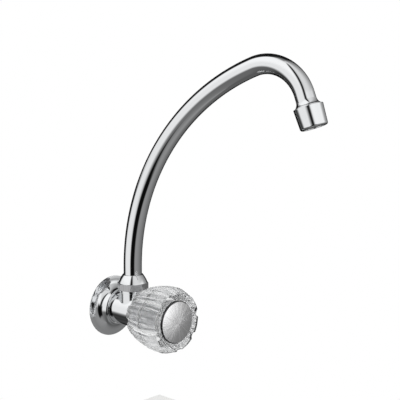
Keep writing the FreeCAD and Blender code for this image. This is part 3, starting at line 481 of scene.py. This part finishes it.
materials = {
    "body_chrome": chromeMaterial("bodyChrome", chromeSet),
    "flange_chrome": chromeMaterial("flangeChrome", chromeSet, smudgeScale=38.0),
    "nut_chrome": nutMaterial("nutChrome", chromeSet, nutFinish),
    "spout_chrome": chromeMaterial("spoutChrome", chromeSet, smudgeScale=30.0),
    "button_chrome": gapShadeMaterial("buttonChrome", chromeSet, buttonGapShade),
    "brushed_plate": brushedMaterial("brushedPlate", plateSet),
    "clear_acrylic": acrylicMaterial("clearAcrylic", acrylicSet),
    "plated_brass": chromeMaterial("platedBrass", chromeSet, colour=(0.86, 0.86, 0.87), smooth=0.2,
                                   dull=0.35),
    "raw_brass": machinedMaterial("rawBrass", metalSet["brass"]),
    "screw_steel": machinedMaterial("screwSteel", metalSet["steel"]),
    "screen_steel": machinedMaterial("screenSteel", metalSet["steel"]),
    "black_rubber": mattMaterial("blackRubber", softSet["rubber"]),
    "nylon": mattMaterial("nylon", softSet["nylon"]),
    "fibre": mattMaterial("fibre", softSet["fibre"]),
    "packing": mattMaterial("packing", softSet["packing"]),
}
print("materials made")

# the CAD nodes that stay get their slot's material
for entry in frame["record"]["subparts"]:
    node = frame["nodes"][entry["node"]]
    node.data.materials.clear()
    node.data.materials.append(materials[entry["material_slot"]])


# Mesh helpers

meshSet = {"arcCuts": 12, "roundCuts": 5, "onAxis": 1e-6, "merge": 0.0005, "sharp": 32}


def placeMatrix(across=0, ahead=0, height=0, yaw=0, pitch=0, roll=0):
    turn = (Matrix.Rotation(math.radians(yaw), 4, "Z") @ Matrix.Rotation(math.radians(pitch), 4, "Y")
            @ Matrix.Rotation(math.radians(roll), 4, "X"))
    return Matrix.Translation((across, -ahead, height)) @ turn


def drawOutline(bm, outline):
    # entries are (radius, place) and how the line goes on: "arc" and "side" swell the line to the next
    # entry to its left (1) or right (-1), "cuts" divides it, and "round" rounds the corner of the entry
    points = []
    corners = []
    current = bm.verts.new((outline[0][0], 0, outline[0][1]))
    for index, entry in enumerate(outline):
        how = entry[2] if len(entry) > 2 else {}
        if "round" in how:
            corners.append((current, how["round"]))
        points.append(current)
        if index + 1 == len(outline):
            break
        start = current.co.copy()
        goal = Vector((outline[index + 1][0], 0, outline[index + 1][1]))
        chord = goal - start
        if "arc" in how:
            left = Vector((-chord.z, 0, chord.x)).normalized() * how["side"]
            half = chord.length / 2
            centre = (start + goal) / 2 - left * math.sqrt(max(how["arc"] ** 2 - half ** 2, 0))
            angle = 2 * math.asin(min(half / how["arc"], 1)) * how["side"]
            known = set(bm.verts)
            bmesh.ops.spin(bm, geom=[current], cent=centre, axis=(0, 1, 0), dvec=(0, 0, 0), angle=angle,
                           steps=how.get("cuts", meshSet["arcCuts"]), use_merge=False, use_duplicate=False)
            fresh = sorted((vert for vert in bm.verts if vert not in known),
                           key=lambda vert: (vert.co - start).length)
            points += fresh[:-1]
            current = fresh[-1]
        else:
            cuts = how.get("cuts", 1)
            for step in range(1, cuts + 1):
                following = bm.verts.new(start + chord * (step / cuts))
                bm.edges.new((current, following))
                current = following
                if step < cuts:
                    points.append(current)
    bm.edges.new((points[-1], points[0]))
    if corners:
        bm.faces.new(points)
        for corner, size in corners:
            bmesh.ops.bevel(bm, geom=[corner], offset=size, segments=meshSet["roundCuts"], profile=0.5,
                            affect="VERTICES", material=-1)
        bmesh.ops.delete(bm, geom=bm.faces[:], context="FACES_ONLY")
    axial = [edge for edge in bm.edges if all(abs(end.co.x) < meshSet["onAxis"] for end in edge.verts)]
    bmesh.ops.delete(bm, geom=axial, context="EDGES")


def finishPiece(name, bm, place, slotName, body, nodes, sharpAngle=meshSet["sharp"]):
    # bm is in millimetres in the piece's own frame
    bmesh.ops.remove_doubles(bm, verts=bm.verts[:], dist=meshSet["merge"])
    bmesh.ops.transform(bm, matrix=Matrix.Scale(mm, 4) @ place, verts=bm.verts[:])
    bmesh.ops.recalc_face_normals(bm, faces=bm.faces[:])
    for face in bm.faces:
        face.smooth = True
    for edge in bm.edges:
        if len(edge.link_faces) == 2:
            edge.smooth = edge.calc_face_angle() < math.radians(sharpAngle)
    mesh = bpy.data.meshes.new(name)
    bm.to_mesh(mesh)
    bm.free()
    mesh.materials.append(materials[slotName])
    piece = bpy.data.objects.new(name, mesh)
    scene.collection.objects.link(piece)
    weighted = piece.modifiers.new("weightedNormals", "WEIGHTED_NORMAL")
    weighted.keep_sharp = True
    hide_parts(*nodes)
    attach(piece, body)


def spinOutline(outline, steps):
    bm = bmesh.new()
    drawOutline(bm, outline)
    bmesh.ops.spin(bm, geom=bm.verts[:] + bm.edges[:], cent=(0, 0, 0), axis=(0, 0, 1), dvec=(0, 0, 0),
                   angle=2 * math.pi, steps=steps, use_merge=True, use_duplicate=False)
    bmesh.ops.remove_doubles(bm, verts=bm.verts[:], dist=meshSet["merge"])
    return bm


tapPlace = placeMatrix(roll=90)

# Wall flange

flangeSet = {"radius": 27.1, "edge": 0.5, "faceRadius": 23.6, "rimDepth": 0.9, "rimRound": 20.0,
             "flareRound": 8.8, "flareEnd": 10.2, "hole": 14.15, "collarWall": 1.15, "depth": 10.6,
             "wall": 0.8, "slopeShare": 0.7, "corner": 0.25, "around": 192, "sharp": 22}


def makeFlange(size):
    collar = size["hole"] + size["collarWall"]
    lean = size["wall"] * size["slopeShare"]  # the wall's thickness across and along its slope
    outline = [
        (size["radius"] - size["wall"], 0),
        (size["radius"], 0, {"round": size["corner"] / 2}),
        (size["radius"], size["edge"], {"arc": size["rimRound"], "side": -1, "cuts": 12}),
        (size["faceRadius"], size["rimDepth"], {"arc": size["flareRound"], "side": 1, "cuts": 40}),
        (collar, size["flareEnd"]),
        (collar, size["depth"], {"round": size["corner"]}),
        (size["hole"], size["depth"], {"round": size["corner"] / 2}),
        (size["hole"], size["flareEnd"] - lean),
        (collar - lean, size["flareEnd"] - lean,
         {"arc": size["flareRound"] + size["wall"], "side": -1, "cuts": 24}),
        (size["faceRadius"] - lean, size["rimDepth"] - lean),
    ]
    bm = spinOutline(outline, size["around"])
    finishPiece("wallFlange", bm, tapPlace, "flange_chrome", "body", ["wall_flange"], size["sharp"])


makeFlange(flangeSet)
print("wall flange made")

# Spout nut

nutSet = {"flats": 25.5, "sides": 8, "low": 19.8, "bandTop": 26.0, "cornerDrop": 0.4, "top": 33.2,
          "topRadius": 8.8, "coneRound": 30.0, "chamfer": 0.7, "turn": 16.2, "thread": 10.56,
          "threadTop": 26.4, "chamber": 9.9, "ledge": 28.7, "tubeHole": 8.3, "ahead": 27.5, "rounding": 0.3,
          "perSide": 28, "sharp": 14}


def makeNut(size):
    corner = size["flats"] / 2 / math.cos(math.pi / size["sides"])
    outline = [
        (size["thread"], size["low"]),
        (corner - size["chamfer"], size["low"], {"cuts": 3}),
        (corner, size["low"] + size["chamfer"], {"cuts": 8}),
        (corner, size["bandTop"] - size["cornerDrop"], {"cuts": 6}),
        (size["flats"] / 2, size["bandTop"], {"arc": size["coneRound"], "side": -1, "cuts": 30}),
        (size["topRadius"], size["top"], {"round": size["rounding"]}),
        (size["tubeHole"], size["top"]),
        (size["tubeHole"], size["ledge"]),
        (size["chamber"], size["ledge"]),
        (size["chamber"], size["threadTop"]),
        (size["thread"], size["threadTop"]),
    ]
    bm = spinOutline(outline, size["sides"] * size["perSide"])
    # what stands out past the eight flats is drawn in to them
    sector = 2 * math.pi / size["sides"]
    for vert in bm.verts:
        radius = math.hypot(vert.co.x, vert.co.y)
        angle = math.atan2(vert.co.y, vert.co.x)
        off = (angle + sector / 2) % sector - sector / 2
        reach = size["flats"] / 2 / math.cos(off)
        if radius > reach:
            vert.co.x *= reach / radius
            vert.co.y *= reach / radius
    place = placeMatrix(ahead=size["ahead"], yaw=size["turn"])
    finishPiece("spoutNut", bm, place, "nut_chrome", "body", ["spout_nut"], size["sharp"])


makeNut(nutSet)
print("spout nut made")

# Spout tube: straight up, along a long bend and a tight one, and on for its tail

spoutSet = {"angle": 10.0, "ahead": 27.5, "radius": 8.0, "wall": 1.0, "start": 27.6, "rise": 38.6,
            "longRadius": 188.0, "longAngle": 69.3, "shortRadius": 34.7, "shortAngle": 91.1, "tail": 4.2,
            "around": 112, "longCuts": 72, "shortCuts": 56}


def edgesOf(geometry):
    return [item for item in geometry if isinstance(item, bmesh.types.BMEdge)]


def extrudeAlong(bm, edges, way):
    made = bmesh.ops.extrude_edge_only(bm, edges=edges)["geom"]
    moved = [item for item in made if isinstance(item, bmesh.types.BMVert)]
    bmesh.ops.translate(bm, verts=moved, vec=way)
    return edgesOf(made)


def makeSpoutTube(size):
    bm = bmesh.new()
    for radius in (size["radius"], size["radius"] - size["wall"]):
        bmesh.ops.create_circle(bm, cap_ends=False, segments=size["around"], radius=radius,
                                matrix=Matrix.Translation((0, 0, size["start"])))
    first = bm.edges[:]
    last = extrudeAlong(bm, first, (0, 0, size["rise"] - size["start"]))
    longAngle = math.radians(size["longAngle"])
    shortAngle = math.radians(size["shortAngle"])
    total = longAngle + shortAngle
    longCentre = Vector((size["longRadius"], 0, size["rise"]))
    between = size["longRadius"] - size["shortRadius"]
    shortCentre = longCentre - between * Vector((math.cos(longAngle), 0, -math.sin(longAngle)))
    bends = ((longCentre, longAngle, size["longCuts"]), (shortCentre, shortAngle, size["shortCuts"]))
    for centre, angle, steps in bends:
        ends = {end for edge in last for end in edge.verts}
        made = bmesh.ops.spin(bm, geom=list(ends) + last, cent=centre, axis=(0, 1, 0), dvec=(0, 0, 0),
                              angle=angle, steps=steps, use_merge=False, use_duplicate=False)
        last = edgesOf(made["geom_last"])
    last = extrudeAlong(bm, last, Vector((math.sin(total), 0, math.cos(total))) * size["tail"])
    bmesh.ops.bridge_loops(bm, edges=first)
    bmesh.ops.bridge_loops(bm, edges=last)
    place = placeMatrix(ahead=size["ahead"], yaw=size["angle"] - 90)
    finishPiece("spoutTube", bm, place, "spout_chrome", "spout", ["spout_tube"])


makeSpoutTube(spoutSet)
print("spout tube made")

# Outlet: cone and aerator housing, placed from the end of the tight bend along the tail

outletSet = {"coneBore": 6.0, "spigot": 6.95, "spigotLength": 3.0, "coneRound": 6.3, "coneEnd": 8.9,
             "coneRadius": 10.15, "coneCorner": 0.15, "thread": 9.2, "threadLength": 6.0,
             "housingTop": 9.45, "housingLength": 17.0, "topRadius": 11.8, "lowRadius": 10.9, "edge": 0.45,
             "lowRound": 1.5, "lip": 1.2, "lipRadius": 8.0, "lipCorner": 0.25, "gap": 0.05,
             "threadGap": 0.08, "around": 144}


def outletPlace(spout):
    longAngle = math.radians(spout["longAngle"])
    total = longAngle + math.radians(spout["shortAngle"])
    reach = (spout["longRadius"] * (1 - math.cos(longAngle))
             + spout["shortRadius"] * (math.cos(longAngle) - math.cos(total)))
    height = (spout["rise"] + spout["longRadius"] * math.sin(longAngle)
              + spout["shortRadius"] * (math.sin(total) - math.sin(longAngle)))
    side = math.radians(spout["angle"])
    return placeMatrix(across=reach * math.sin(side), ahead=spout["ahead"] + reach * math.cos(side),
                       height=height, yaw=spout["angle"] - 90, pitch=math.degrees(total))


def makeOutlet(size, spout):
    place = outletPlace(spout)
    cone = [
        (size["coneBore"], spout["tail"] - size["spigotLength"]),
        (size["spigot"], spout["tail"] - size["spigotLength"]),
        (size["spigot"], spout["tail"]),
        (spout["radius"], spout["tail"], {"arc": size["coneRound"], "side": 1, "cuts": 24}),
        (size["coneRadius"], size["coneEnd"], {"round": size["coneCorner"]}),
        (size["coneRadius"], size["housingTop"] - size["gap"]),
        (size["thread"], size["housingTop"] - size["gap"]),
        (size["thread"], size["housingTop"] + size["threadLength"]),
        (size["coneBore"], size["housingTop"] + size["threadLength"]),
    ]
    bm = spinOutline(cone, size["around"])
    finishPiece("outletCone", bm, place, "spout_chrome", "spout", ["outlet_cone"])
    end = size["housingTop"] + size["housingLength"]
    inner = size["thread"] + size["threadGap"]
    housing = [
        (inner, size["housingTop"]),
        (size["topRadius"], size["housingTop"], {"round": size["edge"]}),
        (size["lowRadius"], end, {"round": size["lowRound"]}),
        (size["lipRadius"], end, {"round": size["lipCorner"]}),
        (size["lipRadius"], end - size["lip"]),
        (inner, end - size["lip"]),
    ]
    bm = spinOutline(housing, size["around"])
    finishPiece("aeratorHousing", bm, place, "spout_chrome", "spout", ["aerator_housing"])


makeOutlet(outletSet, spoutSet)
print("outlet made")

# Clear handle

# lobes are the swells between the deep notches, and ribs are how many each of them has; plain is how
# far outside the seat the grooves begin
handleSet = {"back": 41.6, "backRadius": 21.3, "radius": 28.6, "widest": 73.2, "round": 3.0, "slope": 17.5,
             "front": 82.2, "recess": 16.2, "recessEnd": 57.0, "floor": 4.0, "hub": 9.2, "hubEnd": 73.5,
             "hubBore": 6.45, "hollow": 17.2, "seat": 19.2, "seatDepth": 4.6, "plain": 1.0, "lobes": 8,
             "ribs": 4, "phase": 7.0, "notchRadius": 4.0, "notchDepth": 2.0, "fluteRadius": 2.0,
             "fluteDepth": 0.55, "perRib": 20, "corner": 0.3, "sharp": 40}


def makeHandle(size):
    drop = size["radius"] - size["backRadius"]
    length = size["widest"] - size["back"]
    sideRadius = (length ** 2 + drop ** 2) / (2 * drop)
    slope = math.radians(size["slope"])
    bend = (size["radius"] - size["round"] * (1 - math.cos(slope)),
            size["widest"] + size["round"] * math.sin(slope))
    endRadius = bend[0] - (size["front"] - bend[1]) * math.tan(slope)
    hollowFloor = size["recessEnd"] + size["floor"]
    seatFloor = size["front"] - size["seatDepth"]
    outline = [
        (size["recess"], size["back"], {"round": size["corner"]}),
        (size["backRadius"], size["back"], {"arc": sideRadius, "side": -1, "cuts": 52}),
        (size["radius"], size["widest"], {"arc": size["round"], "side": -1, "cuts": 5}),
        (*bend, {"cuts": 12}),
        (endRadius, size["front"], {"round": size["corner"]}),
        (size["seat"], size["front"], {"round": size["corner"]}),
        (size["seat"], seatFloor),
        (size["hollow"], seatFloor),
        (size["hollow"], hollowFloor, {"round": size["corner"] * 2}),
        (size["hub"], hollowFloor, {"round": size["corner"] * 2}),
        (size["hub"], size["hubEnd"], {"round": size["corner"]}),
        (size["hubBore"], size["hubEnd"]),
        (size["hubBore"], size["recessEnd"]),
        (size["recess"], size["recessEnd"], {"round": size["corner"] * 3}),
    ]
    ribs = size["lobes"] * size["ribs"]
    bm = spinOutline(outline, ribs * size["perRib"])

    def cutTo(angle, count, radius, centre, stretch):
        # distance from the axis that is left under the nearest of the grooves
        sector = 2 * math.pi / count
        off = (angle + sector / 2) % sector - sector / 2
        across = centre * math.sin(off)
        if abs(across) >= radius:
            return math.inf
        return centre * math.cos(off) - math.sqrt(radius ** 2 - across ** 2) * stretch

    for vert in bm.verts:
        radius = math.hypot(vert.co.x, vert.co.y)
        if radius < size["seat"] + size["plain"]:
            continue
        angle = math.atan2(vert.co.y, vert.co.x)
        away = (size["widest"] - vert.co.z) / sideRadius
        stretch = 1 / math.sqrt(1 - away ** 2) if away > 0 else 1 / math.cos(slope)
        notchCentre = radius + (size["notchRadius"] - size["notchDepth"]) * stretch
        onSide = vert.co.z < size["widest"]
        fluteStretch = stretch if onSide else 1
        base = radius if onSide else size["radius"]
        fluteCentre = base + (size["fluteRadius"] - size["fluteDepth"]) * fluteStretch
        left = min(radius, cutTo(angle, size["lobes"], size["notchRadius"], notchCentre, stretch),
                   cutTo(angle, ribs, size["fluteRadius"], fluteCentre, fluteStretch))
        vert.co.x *= left / radius
        vert.co.y *= left / radius
    place = placeMatrix(pitch=-size["phase"], roll=90)
    finishPiece("clearHandle", bm, place, "clear_acrylic", "handle", ["acrylic_handle"], size["sharp"])


makeHandle(handleSet)
print("handle made")

# Button: cap and brushed plate

buttonSet = {"radius": 18.4, "stand": 0.7, "bevel": 0.8, "skirt": 1.2, "top": 1.1, "front": 82.2,
             "back": 77.65, "recess": 0.5, "plate": 0.45, "crown": 1.1, "gap": 0.05, "corner": 0.2,
             "edgeCorner": 0.08, "around": 192}


def makeButton(size):
    face = size["front"] + size["stand"]
    plateRadius = size["radius"] - size["bevel"]
    cap = [
        (size["radius"] - size["skirt"], size["back"]),
        (size["radius"], size["back"], {"round": size["corner"]}),
        (size["radius"], size["front"], {"round": size["corner"]}),
        (plateRadius, face, {"round": size["edgeCorner"]}),
        (plateRadius, face - size["recess"]),
        (0, face - size["recess"]),
        (0, face - size["recess"] - size["top"]),
        (size["radius"] - size["skirt"], size["front"] - size["top"]),
    ]
    bm = spinOutline(cap, size["around"])
    finishPiece("buttonCap", bm, tapPlace, "button_chrome", "handle", ["button_cap"])
    edge = plateRadius - size["gap"]
    low = face - size["recess"] + size["gap"]
    high = low + size["plate"]
    crownRadius = (edge ** 2 + size["crown"] ** 2) / (2 * size["crown"])
    plate = [
        (0, low),
        (edge, low),
        (edge, high, {"arc": crownRadius, "side": -1, "cuts": 24}),
        (0, high + size["crown"]),
    ]
    bm = spinOutline(plate, size["around"])
    finishPiece("buttonPlate", bm, tapPlace, "brushed_plate", "handle", ["button_plate"])


makeButton(buttonSet)
print("button made")

# White card in front, which lights the brushed plate alone

cardSet = {"azimuth": 15, "elevation": 4, "distance": 250, "ahead": 83, "turn": 45, "across": 130,
           "along": 260, "wattsPerArea": 3.2}


def makeCard(size):
    toward = directionAt(size["azimuth"], size["elevation"])
    data = bpy.data.lights.new("frontCard", "AREA")
    data.shape = "RECTANGLE"
    data.size = size["across"] * mm
    data.size_y = size["along"] * mm
    data.energy = size["wattsPerArea"] * data.size * data.size_y
    card = bpy.data.objects.new("frontCard", data)
    place = Vector((0, -size["ahead"], 0)) + toward * size["distance"]
    card.matrix_world = (Matrix.Translation(place * mm) @ toward.to_track_quat("Z", "Y").to_matrix().to_4x4()
                         @ Matrix.Rotation(math.radians(size["turn"]), 4, "Z"))
    lit = bpy.data.collections.new("cardLit")
    lit.objects.link(bpy.data.objects["buttonPlate"])
    card.light_linking.receiver_collection = lit
    scene.collection.objects.link(card)


makeCard(cardSet)
print("card made")

# Floor: plain paper, well below the tap

floorSet = {"height": -0.8, "half": 1.4, "cells": 8, "colour": (0.9, 0.9, 0.89), "pale": (0.84, 0.84, 0.83),
            "grainScale": 40.0, "rough": 0.9, "glow": 0.4}


def makeFloor(size):
    bm = bmesh.new()
    bmesh.ops.create_grid(bm, x_segments=size["cells"], y_segments=size["cells"], size=size["half"],
                          matrix=Matrix.Translation((0, 0, size["height"])))
    mesh = bpy.data.meshes.new("floor")
    bm.to_mesh(mesh)
    bm.free()
    floor = bpy.data.objects.new("floor", mesh)
    scene.collection.objects.link(floor)
    material, tree, shader, place = newMaterial("paperFloor")
    colour = mixColour(tree, noise(tree, place, size["grainScale"], detail=3.0), size["colour"], size["pale"])
    setInputs(tree, shader, {"Base Color": colour, "Roughness": size["rough"], "Emission Color": colour,
                             "Emission Strength": size["glow"]})
    mesh.materials.append(material)
    # the panels of the studio, not the floor, are what the chrome and the acrylic show
    floor.visible_glossy = False
    floor.visible_transmission = False


makeFloor(floorSet)
print("floor made")
